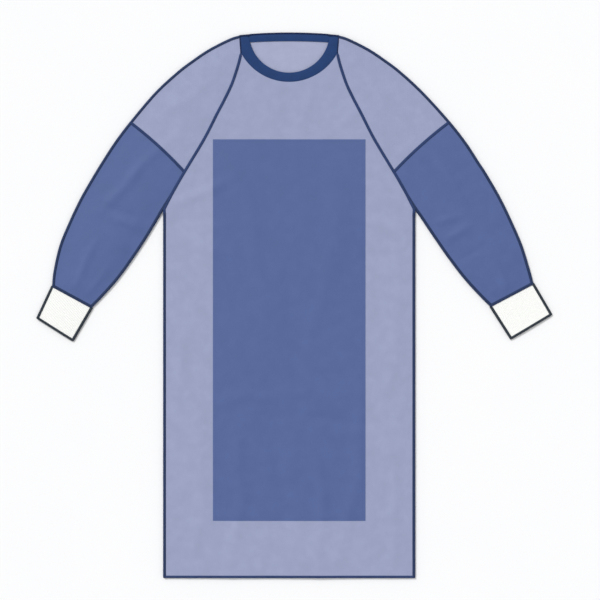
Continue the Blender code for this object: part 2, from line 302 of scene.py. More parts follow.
def spread_across(length, start_roll, end_roll, columns):
    """Distances across each row, and the drop there: an edge with roll 1 turns down by a quarter circle."""
    turn = np.linspace(0, math.pi / 2, ROLL_STEPS)
    rolled = np.append(0, ROLL_RADIUS * (1 - np.cos(turn)))
    fallen = np.append(ROLL_RADIUS + LIP, ROLL_RADIUS * (1 - np.sin(turn)))
    flat = np.linspace(0, FLAT_MARGIN, ROLL_STEPS + 1)
    length, start_roll, end_roll = (np.asarray(each)[:, None] for each in (length, start_roll, end_roll))
    start = flat + start_roll * (rolled - flat)
    end = length - flat - end_roll * (rolled - flat)
    share = np.linspace(0, 1, columns + 1)[None, 1:-1]
    middle = start[:, -1:] + share * (end[:, -1:] - start[:, -1:])
    distance = np.concatenate([start, middle, end[:, ::-1]], axis=1)
    drop = np.concatenate([start_roll * fallen, 0 * middle, (end_roll * fallen)[:, ::-1]], axis=1)
    return distance, drop


def roll_at(place):
    """How far a lower edge rolls along the sections: 0 on the raglan seam, and 1 past the armpit."""
    return smooth((place - ARMPIT + 1) / ROLL_SPAN)


def body_edge(neck, raglan_rows, side_rows):
    """One side of the body from the neck to the hem: the x and y of the edge, and how far it rolls."""
    knots = [(section.seam_x, section.seam_y) for section in (neck, *SECTIONS)]
    place = np.linspace(0, ARMPIT, raglan_rows)
    raglan = flow(knots, place)
    side_y = np.linspace(raglan[-1, 1], HEM_Y, side_rows + 1)[1:]
    below = ARMPIT + (raglan[-1, 1] - side_y) / SECTION_PITCH
    edge_x = np.concatenate([raglan[:, 0], np.full(side_rows, SIDE_X)])
    return edge_x, np.concatenate([raglan[:, 1], side_y]), roll_at(np.concatenate([place, below]))


def facing(points, up):
    """The same grid with its columns in the order that turns its faces up or down."""
    along = points[1:, :-1] - points[:-1, :-1]
    across = points[:-1, 1:] - points[:-1, :-1]
    looks_up = np.cross(across, along)[..., 2].sum() > 0
    return points if looks_up == up else points[:, ::-1]


def cloth(name, points, materials, up, node):
    """A laid sheet of cloth: the grid is its outer face, its wall lies within, and it replaces one solid."""
    piece = grid_mesh(name, [facing(points, up)], materials)
    sides = np.empty(len(piece.data.loops), int)
    piece.data.loops.foreach_get("edge_index", sides)
    cut_edges = np.bincount(sides, minlength=len(piece.data.edges)) == 1
    piece.data.edges.foreach_set("use_edge_sharp", cut_edges)
    wall = piece.modifiers.new("wall", "SOLIDIFY")
    wall.thickness = SHELL
    wall.offset = -1
    wall.material_offset = len(materials) - 1
    wall.material_offset_rim = len(materials) - 1
    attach(piece, "root")
    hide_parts(node)
    return piece


def bond_points(turned):
    """1 on small staggered points where the fibres are bonded, and 0 between: a product of two sines."""
    x, y, _ = turned.split()
    across = (x * (math.pi / EMBOSS_ACROSS)).math("SINE")
    along = (y * (math.pi / EMBOSS_ALONG)).math("SINE")
    return (across * along).step(0.25, 0.75)


def nonwoven(name, paint, grain, emboss=1.0):
    """Bonded nonwoven cloth: cloudy fibres, rows of small bond points along the grain, and faint crinkles."""
    material, place = new_material(name, 0.82, sheen=0.12)
    turned = place.make("ShaderNodeMapping", {}, {"Vector": place, "Rotation": (0, 0, -grain)})
    dots = bond_points(turned)
    clouds = turned.noise(38.0, 5.0, 0.62)
    fibres = turned.noise(900.0, 3.0, 0.7)
    creased = turned.noise(55.0, 3.0, 0.45).step(0.2, 0.8)
    shade = clouds * 0.72 + fibres * 0.34 - dots * (0.16 * emboss)
    relief = (1 - dots) * (0.30 * emboss) + fibres * 0.18 + creased * 1.6
    colour = shade.step(0.22, 0.86).blend(scaled(paint, 0.93), scaled(paint, 1.07))
    rough = clouds * 0.16 + 0.74
    return finish_material(material, colour, rough, relief.bump(0.00035, 0.55))


light_cloth = nonwoven("light_cloth", CLOTH_PAINT, 0.0)
light_inside = nonwoven("light_cloth_inside", INSIDE_PAINT, 0.0, emboss=0.6)


def wrapped_share(x):
    """1 where the back panels lie on each other, with a smooth fall to 0 past the edge of the lower one."""
    return smooth((OVERLAP_STEP[1] - x) / (OVERLAP_STEP[1] - OVERLAP_STEP[0]))


def back_points(side, rise):
    """Rows from the wrapped edge to the side: flat on the table, rolled up at the side, raised by a wrap."""
    raglan_rows, side_rows, columns = BACK_GRID
    edge_x, edge_y, roll = body_edge(BACK_NECK, raglan_rows, side_rows)
    distance, drop = spread_across(edge_x + OVERLAP_X, 0 * roll, roll, columns)
    x = distance - OVERLAP_X
    arch = BACK_BAND_BOTTOM_Y - edge_y[0] + BACK_ARCH * (1 - (x / edge_x[0]) ** 2)
    y = edge_y[:, None] + np.exp(-((edge_y[0] - edge_y[:, None]) / BACK_ARCH_REACH) ** 2) * arch
    return np.stack([side * x, y, UNDERSIDE + drop + rise * wrapped_share(x)], axis=2)


for side_name, side, rise, lies_on in (
    ("left", -1, 0, ["table"]),
    ("right", 1, OVERLAP_RISE, ["back_cloth_left", "table"]),
):
    cloth(f"back_cloth_{side_name}", back_points(side, rise), [light_cloth, light_inside], False,
          f"back_panel_{side_name}")


# Front panel: one piece of light nonwoven cloth, scooped at the neck and slanted along both raglan seams. It
# lies on the back with a little air between them and rolls down to it at the sides. Soft folds run where the
# cloth is slack: from the armpits, below the neck, and down the skirt.

LAY_HEIGHT = 0.0047
BODY_CROWN = 0.0012
NECK_BOTTOM_Y = 0.534
REINFORCEMENT_TOP_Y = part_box("front_reinforcement")[1][1]
FRONT_GRID = (90, 156, 100)
FOLD_BEND = 0.6
FOLD_WAVER = 0.004
FOLD_WAVER_LENGTH = 0.03
FOLD_WAVER_SHIFT = 40
BROAD_WAVES = ((0.0006, 15, 0, 1.1, 10, 0.5), (0.0004, 29, 6, 0, 21, -1))
Fold = namedtuple("Fold", "x y heading length width height")
FOLDS = (
    Fold(-0.228, 0.262, 26, 0.17, 0.013, 0.0021),
    Fold(-0.232, 0.203, 9, 0.15, 0.012, -0.0012),
    Fold(-0.214, 0.146, -14, 0.19, 0.016, 0.0016),
    Fold(0.232, 0.256, 153, 0.15, 0.012, 0.0019),
    Fold(0.222, 0.192, 171, 0.19, 0.015, 0.0016),
    Fold(0.238, 0.122, 196, 0.14, 0.013, -0.0011),
    Fold(-0.128, 0.430, -36, 0.16, 0.014, 0.0013),
    Fold(0.138, 0.441, 216, 0.13, 0.013, 0.0012),
    Fold(-0.062, 0.497, -68, 0.10, 0.011, 0.0011),
    Fold(0.046, 0.489, -104, 0.11, 0.012, 0.0012),
    Fold(-0.004, 0.455, -88, 0.13, 0.015, -0.0009),
    Fold(-0.094, 0.205, -76, 0.33, 0.021, 0.0015),
    Fold(0.104, 0.118, -98, 0.36, 0.023, 0.0015),
    Fold(0.014, -0.048, -84, 0.30, 0.019, -0.0011),
    Fold(-0.262, -0.108, -86, 0.34, 0.013, 0.0014),
    Fold(0.258, -0.046, -95, 0.37, 0.014, 0.0015),
    Fold(-0.208, -0.392, -88, 0.45, 0.018, 0.0020),
    Fold(-0.118, -0.472, -93, 0.35, 0.016, 0.0015),
    Fold(-0.022, -0.404, -86, 0.40, 0.020, -0.0013),
    Fold(0.078, -0.512, -91, 0.29, 0.015, 0.0017),
    Fold(0.168, -0.368, -95, 0.46, 0.019, 0.0019),
    Fold(0.252, -0.486, -89, 0.31, 0.013, 0.0014),
    Fold(-0.052, -0.214, 5, 0.24, 0.014, 0.0009),
    Fold(0.124, -0.276, -9, 0.21, 0.013, -0.0008),
)


def folded(x, y, folds):
    """Height of soft folds: each is bell-shaped across, fades at both ends, and is a trough if below 0."""
    total = np.zeros(np.broadcast(x, y).shape)
    for fold in folds:
        heading = math.radians(fold.heading)
        along = (x - fold.x) * math.cos(heading) + (y - fold.y) * math.sin(heading)
        across = (y - fold.y) * math.cos(heading) - (x - fold.x) * math.sin(heading)
        waver = np.sin(along / FOLD_WAVER_LENGTH + fold.x * FOLD_WAVER_SHIFT)
        across = across + FOLD_BEND * along**2 - FOLD_WAVER * waver
        total = total + fold.height * np.exp(-(across / fold.width) ** 2 - (2 * along / fold.length) ** 4)
    return total


def slack(x, y):
    """Height of the front layer over its flat lay: two broad waves, products of sines, and the folds."""
    broad = sum(
        height * np.sin(by_x * x + by_y * y + first) * np.sin(down * y + second)
        for height, by_x, by_y, first, down, second in BROAD_WAVES
    )
    return broad + folded(x, y, FOLDS)


def settled(distance, length, start_roll, end_roll):
    """How freely the cloth lies: 0 at a rolled edge, and 1 well inside it."""
    length, start_roll, end_roll = (np.asarray(each)[:, None] for each in (length, start_roll, end_roll))
    start = start_roll * np.exp(-((distance / SETTLE) ** 2))
    end = end_roll * np.exp(-(((length - distance) / SETTLE) ** 2))
    return np.clip(1 - start - end, 0, 1)


def crown(x):
    """The air under the front: an arch across the body, from 0 at one side to 0 at the other."""
    return BODY_CROWN * np.clip(1 - (x / SIDE_X) ** 2, 0, 1)


def front_points():
    """Rows from side to side. They follow the neck's scoop and straighten by the reinforcement's top."""
    raglan_rows, side_rows, columns = FRONT_GRID
    edge_x, edge_y, roll = body_edge(FRONT_NECK, raglan_rows, side_rows)
    distance, drop = spread_across(2 * edge_x, roll, roll, columns)
    x = distance - edge_x[:, None]
    scoop_drop = edge_y[0] - NECK_BOTTOM_Y
    radius = (edge_x[0] ** 2 + scoop_drop**2) / (2 * scoop_drop)
    scoop = np.sqrt(radius**2 - (x / edge_x[:, None] * edge_x[0]) ** 2) - (radius - scoop_drop)
    follow = np.clip((edge_y - REINFORCEMENT_TOP_Y) / (edge_y[0] - REINFORCEMENT_TOP_Y), 0, 1)
    y = edge_y[:, None] - follow[:, None] * scoop
    free = settled(distance, 2 * edge_x, roll, roll)
    return np.stack([x, y, LAY_HEIGHT + free * (crown(x) + slack(x, y)) - drop], axis=2)


cloth("front_cloth", front_points(), [light_cloth], True,
      "front_panel")


# Front reinforcement: a rectangle of darker, smoother coated cloth, bonded to the front panel from the chest
# to just above the hem. A narrow heat-sealed line runs just inside its cut edges.

reinforcement_low, reinforcement_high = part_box("front_reinforcement")
DARK_PAINT = tint(73, 93, 146)
BOND_HEIGHT = 0.0007
SEAL_INSET = 0.006
SEAL_WIDTH = 0.0012
SEAL_PITCH = 0.004
REINFORCEMENT_GRID = (160, 70)


def coated(name, grain, sealed=None):
    """Smoother, denser cloth with faint crinkles. Sealed is a rectangle with small dents inside its edges."""
    material, place = new_material(name, 0.6, sheen=0.05)
    turned = place.make("ShaderNodeMapping", {}, {"Vector": place, "Rotation": (0, 0, -grain)})
    clouds = turned.noise(30.0, 5.0, 0.6)
    stretched = turned.make("ShaderNodeMapping", {}, {"Vector": turned, "Scale": (1.0, 0.3, 1.0)})
    fibres = stretched.noise(1500.0, 3.0, 0.7)
    creased = turned.noise(42.0, 3.0, 0.45).step(0.2, 0.8)
    dots = bond_points(turned)
    shade = clouds * 0.70 + fibres * 0.42 - dots * 0.09
    relief = creased * 1.5 + fibres * 0.30 + (1 - dots) * 0.16
    if sealed:
        x, y, _ = place.split()
        from_side, from_end = (
            (high - low) / 2 - (value - (low + high) / 2).math("ABSOLUTE")
            for value, low, high in zip((x, y), *sealed)
        )
        inset = from_side.math("MINIMUM", from_end)
        line = 1 - (inset - SEAL_INSET).math("ABSOLUTE").step(SEAL_WIDTH * 0.5, SEAL_WIDTH)
        dents = ((x + y) * (2 * math.pi / SEAL_PITCH)).math("SINE").step(-0.5, 0.3) * line
        shade = shade - dents * 0.3
        relief = relief - dents * 0.7
    colour = shade.step(0.2, 0.88).blend(scaled(DARK_PAINT, 0.94), scaled(DARK_PAINT, 1.06))
    return finish_material(material, colour, clouds * 0.14 + 0.52, relief.bump(0.00035, 0.55))


def reinforcement_points():
    """An even grid over the rectangle, at the front panel's own height and a little above it."""
    rows, columns = REINFORCEMENT_GRID
    x = np.linspace(reinforcement_low[0], reinforcement_high[0], columns)[None, :]
    y = np.linspace(reinforcement_high[1], reinforcement_low[1], rows)[:, None]
    x, y = np.broadcast_arrays(x, y)
    return np.stack([x, y, LAY_HEIGHT + crown(x) + slack(x, y) + BOND_HEIGHT], axis=2)


cloth("reinforcement_cloth", reinforcement_points(),
      [coated("reinforcement_cloth", 0.0, sealed=(reinforcement_low, reinforcement_high))], True,
      "front_reinforcement")


# Sleeves: raglan sleeves with an upper stretch of the light cloth and a lower one of the dark cloth. Each
# stretch has a front and a back half, joined along the overarm and the underarm. Short creases cross the
# elbow, long ones run down the forearm, and the end is eased into the cuff in small gathers.

LEAN_RISE = 0.35
PUFF = 0.0024
PUFF_WIDTH = 0.12
PUFF_EASE = 0.6
CREASE_REACH = 0.04
SEAM_BOW = 0.004
GATHER_HEIGHT, GATHERS, GATHER_REACH = 0.0005, 15, 0.024
SLEEVE_GRAIN = math.radians(34)
UPPER_CUT, UPPER_AREA = (0.178, 0.342), 0.0408
LOWER_CUT, LOWER_AREA = (0.196, 0.455), 0.0735
SLEEVE_FOLDS = (
    Fold(0.366, 0.198, 24, 0.10, 0.009, 0.0017),
    Fold(0.385, 0.161, 38, 0.11, 0.010, 0.0019),
    Fold(0.423, 0.121, 31, 0.09, 0.008, -0.0011),
    Fold(0.409, 0.262, -52, 0.17, 0.012, 0.0015),
    Fold(0.346, 0.336, -39, 0.14, 0.012, 0.0012),
    Fold(0.497, 0.083, -63, 0.12, 0.010, 0.0014),
    Fold(0.468, 0.052, -49, 0.09, 0.009, 0.0011),
    Fold(0.232, 0.505, -38, 0.15, 0.012, 0.0012),
    Fold(-0.372, 0.186, 158, 0.11, 0.009, 0.0018),
    Fold(-0.400, 0.144, 139, 0.10, 0.010, 0.0016),
    Fold(-0.405, 0.226, 166, 0.08, 0.008, -0.0011),
    Fold(-0.396, 0.281, -127, 0.15, 0.012, 0.0015),
    Fold(-0.331, 0.349, -141, 0.15, 0.013, 0.0012),
    Fold(-0.486, 0.098, -118, 0.13, 0.010, 0.0014),
    Fold(-0.455, 0.061, -132, 0.08, 0.009, 0.0011),
    Fold(-0.240, 0.496, -141, 0.13, 0.012, 0.0013),
)


def sleeve_edges(knots, side, places):
    """The plan of a sleeve at places along its sections: the seam or underarm edge, and the overarm edge."""
    line = flow([tuple(section) for section in knots], places)
    both = np.stack([line[:, 2:4], line[:, :2]]) * (side, 1)
    lean = line[:, [5, 4]].T
    return both + lean[..., None] * (1, side * LEAN_RISE)


def sleeve_points(side, places, columns, front):
    """Rows from the seam or underarm to the overarm. A front half is puffed and creased, a back one flat."""
    seam, overarm = sleeve_edges((FRONT_NECK if front else BACK_NECK, *SECTIONS), side, places)
    length = np.linalg.norm(overarm - seam, axis=1)
    along = (overarm - seam) / length[:, None]
    roll = roll_at(places)
    distance, drop = spread_across(length, roll, np.ones(len(places)), columns)
    share = distance / length[:, None]
    place = seam[:, None] + distance[..., None] * along[:, None]
    bow = SEAM_BOW * 4 * share * (1 - share) * smooth(1 - np.abs(places - COLOUR_SEAM))[:, None]
    to_shoulder = side * np.stack([-along[:, 1], along[:, 0]], axis=1)
    place += bow[..., None] * to_shoulder[:, None]
    height = UNDERSIDE + drop
    if front:
        x, y = place[..., 0], place[..., 1]
        middle = (seam + overarm) / 2
        from_end = np.linalg.norm(middle - middle[-1], axis=1)[:, None]
        last = smooth(places - SLEEVE_END + 1)[:, None]
        puff = PUFF * np.minimum(1, length / PUFF_WIDTH)[:, None] * (1 - PUFF_EASE * last)
        gathers = last * np.exp(-from_end / GATHER_REACH) * GATHER_HEIGHT
        full = crown(np.abs(seam[:, :1])) * (1 - share)
        full += puff * np.sin(math.pi * share)
        full += slack(x, y) * (1 - last)
        full += folded(x, y, SLEEVE_FOLDS) * smooth(distance / CREASE_REACH) * (1 - last)
        full += gathers * np.sin(2 * math.pi * GATHERS * share)
        height = LAY_HEIGHT + settled(distance, length, roll, np.ones(len(places))) * full - drop
    return np.concatenate([place, height[..., None]], axis=2)


SIDES = {"left": -1, "right": 1}
UPPER_PLACES = np.linspace(0, COLOUR_SEAM, 64)
LOWER_PLACES = np.linspace(COLOUR_SEAM, SLEEVE_END, 92)
UPPER_COLUMNS, LOWER_COLUMNS = 30, 36
for side_name, side in SIDES.items():
    sleeve_light = nonwoven(f"light_sleeve_{side_name}", CLOTH_PAINT, side * SLEEVE_GRAIN)
    sleeve_dark = coated(f"dark_sleeve_{side_name}", side * SLEEVE_GRAIN)
    stretches = (
        ("upper", UPPER_PLACES, UPPER_COLUMNS, sleeve_light, UPPER_CUT, UPPER_AREA, "light_cloth"),
        ("lower", LOWER_PLACES, LOWER_COLUMNS, sleeve_dark, LOWER_CUT, LOWER_AREA, "dark_cloth"),
    )
    for layer, front in (("back", False), ("front", True)):
        for stretch, places, columns, material, cut, area, slot in stretches:
            lies_on = f"{stretch}_back_{side_name}" if front else "table"
            cloth(f"{stretch}_{layer}_{side_name}", sleeve_points(side, places, columns, front), [material],
                  front, f"{stretch}_sleeve_{layer}_{side_name}")


# Cuffs: white rib-knit tubes, sewn to the sleeve ends and pressed flat, with thirty ribs on each face and
# rows of small V stitches on each rib.

CUFF_END = Section(0.614, -0.0256, 0.523, -0.0814, 0.0123, 0.0064)
CUFF_HEIGHT = 0.0043
CUFF_CROWN = 0.0012
RIBS = 30
RIB_DEPTH = 0.0010
RIB_STEPS = 6
RIB_SHAPE = 0.7
EDGE_FLATTENING = 0.6
CUFF_ROWS = 22
CUFF_WALL = 0.0007
STITCH_LENGTH = 0.0022
KNIT_PAINT = tint(252, 253, 250)


def cuff_ring(width):
    """One flattened ribbed ring: the place across, the height, and the ribs passed, counted all round.

    A rib's top is a sine raised to a power that broadens it, and both edges are half circles.
    """
    half = CUFF_HEIGHT / 2
    ribs = np.linspace(0, RIBS, RIBS * RIB_STEPS + 1)
    flat = half + (width - 2 * half) * ribs / RIBS
    lobe = RIB_DEPTH * (np.abs(np.sin(math.pi * ribs)) ** RIB_SHAPE - 1)
    turn = np.linspace(math.pi / 2, -math.pi / 2, 9)[1:-1]
    top = CUFF_HEIGHT + lobe + CUFF_CROWN * np.sin(math.pi * ribs / RIBS)
    edge_x, edge_z = half * np.cos(turn), half + (half - EDGE_FLATTENING * RIB_DEPTH) * np.sin(turn)
    across = np.concatenate([flat, width - half + edge_x, flat[::-1], half - edge_x])
    height = np.concatenate([top, edge_z, -lobe, edge_z[::-1]])
    edge_ribs = 0.5 + 0 * turn
    counted = np.concatenate([ribs, RIBS + edge_ribs, RIBS + 1 + ribs, 2 * RIBS + 1 + edge_ribs])
    return across, height, counted


def cuff_points(side):
    """Rings from the sleeve to the wrist."""
    start = sleeve_edges(SECTIONS, side, np.array([SLEEVE_END - 1]))[:, 0]
    end = sleeve_edges((CUFF_END, CUFF_END), side, np.array([0]))[:, 0]
    rings = []
    for share in np.linspace(0, 1, CUFF_ROWS + 1):
        seam, overarm = start + share * (end - start)
        width = np.linalg.norm(overarm - seam)
        across, height, counted = cuff_ring(width)
        rings.append(np.column_stack([seam + across[:, None] * (overarm - seam) / width, height]))
    return np.array(rings), counted, np.linalg.norm((end - start).mean(axis=0))


def rib_knit():
    """White knit: V stitches follow the ribs, from the piece's own UV map, with a fine fuzz over them."""
    material, place = new_material("rib_knit_white", 0.85, sheen=0.3)
    uv = Shade(place.tree, place.socket.node.outputs["UV"])
    u, v, _ = uv.split()
    across = (u - u.math("FLOOR") - 0.5).math("ABSOLUTE")
    stitch = ((v / STITCH_LENGTH + across * 1.4) * (2 * math.pi)).math("SINE") * 0.5 + 0.5
    rib_valley_and_painted_shade = across.step(0.30, 0.5)
    fuzz = uv.make("ShaderNodeMapping", {}, {"Vector": uv, "Scale": (1.0, 280.0, 1.0)}).noise(3.0, 4.0, 0.7)
    relief = stitch * (1 - rib_valley_and_painted_shade) * 0.7 + fuzz * 0.3
    # Painted shade: the rib valleys and the low parts between the V stitches are painted up to 10 % darker
    # than the white knit.
    colour = (rib_valley_and_painted_shade * 0.75 + (1 - stitch) * 0.25).blend(KNIT_PAINT, scaled(KNIT_PAINT, 0.90))
    return finish_material(material, colour, None, relief.bump(0.0004, 0.8))


knit = rib_knit()
for side_name, side in SIDES.items():
    rings, counted, cuff_length = cuff_points(side)
    cuff = grid_mesh(f"cuff_knit_{side_name}", [rings], [knit], round_across=True)
    rows, columns = rings.shape[:2]
    loops = np.empty(len(cuff.data.loops), int)
    cuff.data.loops.foreach_get("vertex_index", loops)
    # Where a face closes the ring, its first column counts on from its last.
    around = counted[loops % columns].reshape(-1, 4)
    around = around + (2 * RIBS + 2) * (around.max(axis=1)[:, None] - around > RIBS)
    along = (loops // columns) / (rows - 1) * cuff_length
    knit_places = np.stack([around.ravel(), along], axis=1)
    cuff.data.uv_layers.new(name="knit").data.foreach_set("uv", knit_places.ravel())
    wall = cuff.modifiers.new("wall", "SOLIDIFY")
    wall.thickness = CUFF_WALL
    wall.offset = -1
    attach(cuff, "root")
    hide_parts(f"cuff_{side_name}")


# Neck band: a strip of navy binding folded over the cut edges, round the scoop of the front and straight
# across the two back panels, with a row of stitches near its outer edge. The front's ends drop to the back's
# at the shoulders.

NAVY = tint(32, 60, 108)
WEAVE = 5200.0
BAND_THICKNESS = 0.0015
BAND_ROUND = 0.0008
SCOOP_HALF_WIDTH, SCOOP_CORNER_Y, SCOOP_BOTTOM_Y = 0.093, 0.627, 0.556
HORN = (0.098, 0.646)
BACK_BAND_TOP_Y = 0.6445
BAND_ARCH = (0.0045, 0.0055)
HORN_DROP = 0.0021
HORN_REACH = 0.022
TOPSTITCH_INSET = 0.0022
TOPSTITCH_PITCH = 0.0042
TOPSTITCH_LENGTH = 0.0027
TOPSTITCH_RADIUS = 0.00035
STITCH_PLACES = (-0.5, -0.36, 0, 0.36, 0.5)
STITCH_THICKNESS = (0, 0.8, 1, 0.8, 0)
PIECE_GAP = 0.0003
SLACK_SHARE = 0.5
SLACK_TOP_Y, SLACK_FADE = 0.60, 0.04
LINE_STEPS = 150


def scoop_line(half_width, corner_y, bottom_y, end):
    """An arc through two corners and a lowest point, with a straight piece to each end, in equal steps."""
    drop = corner_y - bottom_y
    radius = (half_width**2 + drop**2) / (2 * drop)
    reach = math.atan2(half_width, radius - drop)
    turn = np.linspace(-reach, reach, 200)
    arc = np.stack([radius * np.sin(turn), bottom_y + radius - radius * np.cos(turn), 0 * turn], axis=1)
    path = np.concatenate([[(-end[0], end[1], 0)], arc, [(*end, 0)]])
    return at_lengths(path, np.linspace(0, lengths(path)[-1], LINE_STEPS))[0]


def lengths(path):
    """How long a path is up to each of its points."""
    return np.append(0, np.cumsum(np.linalg.norm(np.diff(path, axis=0), axis=1)))


def at_lengths(path, places, *values):
    """The path's points at given lengths along it, and what its other values are there."""
    passed = lengths(path)
    given = [np.interp(places, passed, value) for value in (*path.T, *values)]
    return np.stack(given[:3], axis=1), given[3:]


def folded_strip(outer, inner, top):
    """Rows along a band, each over it from the outer to the inner edge, round the fold, and back below."""
    middle = BAND_THICKNESS / 2
    over = np.linspace(0, 1, 12)
    turn = np.linspace(math.pi / 2, -math.pi / 2, 7)[1:-1]
    fold = middle / np.linalg.norm(inner - outer, axis=1).mean()
    share = np.concatenate([over * (1 - fold), 1 - fold + fold * np.cos(turn), over[::-1] * (1 - fold)])
    round_top, below = BAND_ROUND * np.sin(math.pi * over), 0 * over - BAND_THICKNESS
    rise = np.concatenate([round_top, middle * np.sin(turn) - middle, below])
    points = outer[:, None] + share[:, None] * (inner - outer)[:, None]
    points[..., 2] = top(points[..., 0], points[..., 1]) + rise
    return points


def band_height(x, y):
    """The top of the front band: on the front layer, and lower at its ends, which meet the back band."""
    fallen = HORN_DROP * smooth((y - HORN[1] + HORN_REACH) / HORN_REACH) * (y > 0)
    loose = SLACK_SHARE * slack(x, y) * smooth((SLACK_TOP_Y - y) / SLACK_FADE)
    return LAY_HEIGHT + crown(x) + loose - fallen + PIECE_GAP


def binding():
    """Plain folded binding: a fine diagonal weave of two crossing sines, cloudy and a little puckered."""
    material, place = new_material("navy_binding", 0.8, sheen=0.02, gloss=0.2)
    x, y, _ = place.split()
    weave = ((x + y) * WEAVE).math("SINE") * 0.25 + ((x - y) * WEAVE).math("SINE") * 0.25 + 0.5
    clouds = place.noise(60.0, 4.0, 0.6)
    puckers = place.noise(160.0, 2.0, 0.4)
    colour = (clouds * 0.75 + weave * 0.25).step(0.15, 0.85).blend(scaled(NAVY, 0.88), scaled(NAVY, 1.10))
    relief = (weave * 0.25 + puckers * 1.6).bump(0.0003, 0.6)
    return finish_material(material, colour, clouds * 0.12 + 0.72, relief)


def back_band_points(side, rise):
    """The back band follows its panel: on the table, or raised where the panel wraps over the other."""
    x = np.linspace(-OVERLAP_X, BACK_NECK.overarm_x, 60)
    arch = 1 - (x / BACK_NECK.overarm_x) ** 2
    lower = np.stack([side * x, BACK_BAND_BOTTOM_Y + BAND_ARCH[0] * arch, 0 * x], axis=1)
    upper = np.stack([side * x, BACK_BAND_TOP_Y + BAND_ARCH[1] * arch, 0 * x], axis=1)

    def top(x, _):
        return UNDERSIDE + BAND_THICKNESS + rise * wrapped_share(side * x)

    return folded_strip(lower, upper, top)


def band(name, points, node):
    """A folded strip as cloth, its faces outwards: those that lie highest look up."""
    piece = cloth(name, points, [navy_binding], True, node)
    form = bmesh.new()
    form.from_mesh(piece.data)
    top_face = max(form.faces, key=lambda face: face.calc_center_median().z)
    if top_face.normal.z < 0:
        bmesh.ops.reverse_faces(form, faces=form.faces)
    form.to_mesh(piece.data)
    form.free()


def round_path(path, across, up, half_width, half_height, angles):
    """Points round a path in an oval: half the width across it, half the height above and below it."""
    sideways = half_width[:, None] * np.cos(angles)
    upwards = half_height[:, None] * np.sin(angles)
    return path[:, None] + sideways[..., None] * across[:, None] + upwards[..., None] * up[:, None]


def unit(vectors):
    """The same directions, each of length 1."""
    return vectors / np.linalg.norm(vectors, axis=-1, keepdims=True)


def level_frame(path):
    """At each point of a path, the directions level across it and up from it."""
    along = np.gradient(path, axis=0)
    across = unit(np.cross(along, (0.0, 0.0, 1.0)))
    return across, unit(np.cross(across, along))


def stitches(path):
    """A row of short stitches: each a closed spindle of thread half sunk into the cloth."""
    count = int(lengths(path)[-1] / TOPSTITCH_PITCH)
    along = np.array(STITCH_PLACES) * TOPSTITCH_LENGTH
    thick = np.array(STITCH_THICKNESS) * TOPSTITCH_RADIUS
    angles = np.arange(6) * math.pi / 3
    grids = []
    for middle in (np.arange(count) + 0.5) * TOPSTITCH_PITCH:
        line, _ = at_lengths(path, middle + along)
        across, up = level_frame(line)
        grids.append(round_path(line, across, up, thick, thick, angles[None, :]))
    return grids


navy_binding = binding()
outer_line = scoop_line(FRONT_NECK.seam_x, FRONT_NECK.seam_y, NECK_BOTTOM_Y, FRONT_NECK[:2])
inner_line = scoop_line(SCOOP_HALF_WIDTH, SCOOP_CORNER_Y, SCOOP_BOTTOM_Y, HORN)
front_band = folded_strip(outer_line, inner_line, band_height)
band("neck_binding_front", front_band, "neck_band_front")
band_width = np.linalg.norm(inner_line - outer_line, axis=1)[:, None]
stitch_line = outer_line + TOPSTITCH_INSET / band_width * (inner_line - outer_line)
stitch_rise = BAND_ROUND * np.sin(math.pi * TOPSTITCH_INSET / band_width[:, 0])
stitch_line[:, 2] = band_height(*stitch_line[:, :2].T) + stitch_rise
band("neck_binding_back_left", back_band_points(-1, 0), "neck_band_back_left")
band("neck_binding_back_right", back_band_points(1, BAND_THICKNESS + PIECE_GAP),
     "neck_band_back_right")


# Seams: every join and the hem are overlocked in navy thread, which the drawing shows as its dark outlines.
# The thread wraps round a rolled seam allowance. The cuffs are edged the same way in a finer charcoal thread.

THREAD_PAINT = tint(43, 58, 94)
SEAM_THREAD_PAINT = tint(48, 66, 110)
EDGE_THREAD_PAINT = tint(18, 34, 74)
CHARCOAL_PAINT = tint(50, 58, 67)
Seam = namedtuple("Seam", "half_width half_height thread pitch")
SURFACE_SEAM = Seam(0.0033, 0.0013, 0.00042, 0.0026)
HEM_SEAM = Seam(0.0027, 0.0013, 0.00042, 0.0026)
BACK_HEM_SEAM = Seam(0.0022, 0.0006, 0.00030, 0.0026)
EDGE_SEAM = Seam(0.0035, 0.0028, 0.00045, 0.0026)
UNDER_SEAM = Seam(0.0019, 0.0004, 0.0, 0.0026)
NECK_SEAM = Seam(0.0027, 0.0016, 0.00032, 0.0021)
NECK_SIDE_SEAM = Seam(0.0015, 0.0010, 0.00030, 0.0021)
CUFF_SEAM = Seam(0.0036, 0.0024, 0.00036, 0.0021)
CUFF_END_SEAM = Seam(0.0030, 0.0012, 0.00036, 0.0021)
CUFF_INSET = 0.0013
CUFF_END_INSET = 0.0006
CORE_STEP = 0.004
CORE_END = 0.0018
CORE_SIDES = 14
END_PLACES = (0, 0.15, 0.5, 1)
END_WIDTHS = (0, 0.55, 0.87)
HELIX_STEPS = 10
HELIX_SIDES = 4


def thread_material(name, paint):
    """Spun thread: darker and lighter fibres, twisted finely along it."""
    material, place = new_material(name, 0.75, sheen=0.02, gloss=0.2)
    fibres = place.noise(700.0, 3.0, 0.6)
    patches = place.noise(45.0, 2.0, 0.5)
    colour = (fibres * 0.6 + patches * 0.4).step(0.2, 0.8).blend(scaled(paint, 0.82), scaled(paint, 1.18))
    return finish_material(material, colour, None, fibres.bump(0.0002, 0.6))


